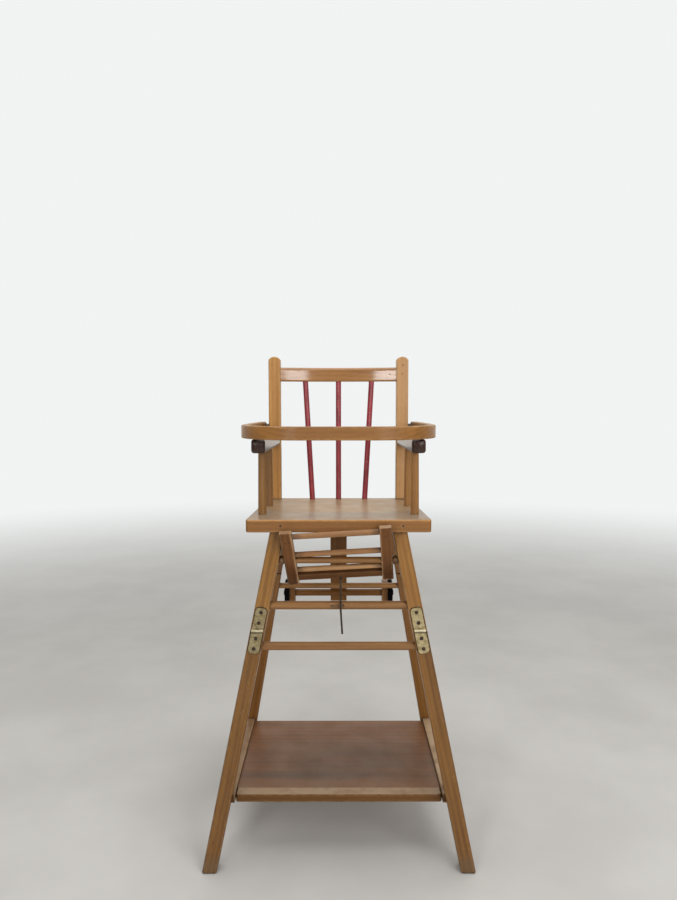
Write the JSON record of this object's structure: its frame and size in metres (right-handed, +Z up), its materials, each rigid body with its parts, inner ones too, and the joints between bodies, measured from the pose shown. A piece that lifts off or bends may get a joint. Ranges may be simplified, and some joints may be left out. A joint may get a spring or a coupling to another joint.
{
  "type": "baby high chair",
  "caption": "Wooden baby high chair with a swing-up guard hoop, tilting ladder footrest, low shelf and brass-hinged legs that fold it into a low chair on wheels with a play table.",
  "frame": {"origin": "floor, at the middle of the overall box", "axes": "+Z up, -Y towards the front of the chair, +X to the right as seen from the front"},
  "size_m": [0.4988, 0.4192, 0.9536],
  "materials": {
    "varnished_beech": "satin varnish, worn at the edges",
    "seat_wood": "satin varnish, rubbed dull by use",
    "shelf_wood": "reddish brown satin varnish",
    "edging_wood": "worn pale varnish",
    "stained_wood": "dark stain under varnish",
    "dark_lacquer": "gloss lacquer",
    "crimson_paint": "gloss paint",
    "aged_brass": "tarnished, with dark specks",
    "dark_steel": "dark and oxidised",
    "black_paint": "satin",
    "tyre_rubber": "matte"
  },
  "bodies": {
    "seat_unit": {"arm_left": "dark_lacquer", "arm_right": "dark_lacquer", "arm_spindle_front_left": "varnished_beech", "arm_spindle_front_right": "varnished_beech", "arm_spindle_rear_left": "varnished_beech", "arm_spindle_rear_right": "varnished_beech", "axle_rung": "varnished_beech", "back_post_left": "varnished_beech", "back_post_right": "varnished_beech", "back_rail": "varnished_beech", "back_spindle_centre": "crimson_paint", "back_spindle_left": "crimson_paint", "back_spindle_right": "crimson_paint", "carriage_strut": "varnished_beech", "footrest_dowel": "varnished_beech", "footrest_sleeves": "dark_steel", "guard_pivot_bolts": "dark_steel", "hinge_pins": "aged_brass", "hinge_screws_upper": "dark_steel", "hinge_upper_leaf_left": "aged_brass", "hinge_upper_leaf_right": "aged_brass", "latch_staple": "dark_steel", "seat_board": "seat_wood", "seat_nails": "dark_steel", "upper_front_leg_left": "varnished_beech", "upper_front_leg_right": "varnished_beech", "upper_front_rung": "varnished_beech", "upper_rear_leg_left": "varnished_beech", "upper_rear_leg_right": "varnished_beech", "wheel_bolts": "dark_steel", "wheel_cheek_left": "varnished_beech", "wheel_cheek_right": "varnished_beech"},
    "lower_frame": {"hinge_lower_leaf_left": "aged_brass", "hinge_lower_leaf_right": "aged_brass", "hinge_screws_lower": "dark_steel", "lower_front_leg_left": "varnished_beech", "lower_front_leg_right": "varnished_beech", "lower_front_rung": "varnished_beech", "lower_rear_leg_left": "varnished_beech", "lower_rear_leg_right": "varnished_beech", "lower_rear_rung": "varnished_beech", "rear_leg_studs": "dark_steel", "shelf_board": "shelf_wood", "shelf_edging": "edging_wood", "shelf_screws": "dark_steel", "side_stretcher_left": "varnished_beech", "side_stretcher_right": "varnished_beech"},
    "guard": {"guard_hoop": "varnished_beech"},
    "footrest": {"footrest_lower_step": "varnished_beech", "footrest_slat": "varnished_beech", "footrest_stick_left": "stained_wood", "footrest_stick_right": "stained_wood", "footrest_top_step": "varnished_beech", "footrest_upper_step": "varnished_beech"},
    "latch": {"latch_hook": "dark_steel"},
    "wheel_left": {"wheel_disc_left": "black_paint", "wheel_tyre_left": "tyre_rubber"},
    "wheel_right": {"wheel_disc_right": "black_paint", "wheel_tyre_right": "tyre_rubber"}
  },
  "joints": [
    {"name": "leg_fold", "type": "hinge", "parent": "seat_unit", "child": "lower_frame", "pos_m": [0, -0.16953, 0.4437], "axis": [-1, 0, 0], "range_deg": [0, 180]},
    {"name": "guard_swing", "type": "hinge", "parent": "seat_unit", "child": "guard", "pos_m": [0, 0.102, 0.8029], "axis": [-1, 0, 0], "range_deg": [0, 255]},
    {"name": "footrest_swing", "type": "hinge", "parent": "seat_unit", "child": "footrest", "pos_m": [0, -0.14338, 0.5681], "axis": [1, 0, 0], "range_deg": [0, 80]},
    {"name": "latch_swing", "type": "hinge", "parent": "seat_unit", "child": "latch", "pos_m": [0.0035, -0.16291, 0.4875], "axis": [-1, 0, 0], "range_deg": [-15, 35]},
    {"name": "wheel_spin_left", "type": "hinge", "parent": "seat_unit", "child": "wheel_left", "pos_m": [-0.115, 0.14147, 0.4294], "axis": [1, 0, 0], "continuous": true},
    {"name": "wheel_spin_right", "type": "hinge", "parent": "seat_unit", "child": "wheel_right", "pos_m": [0.115, 0.14147, 0.4294], "axis": [1, 0, 0], "continuous": true}
  ]
}
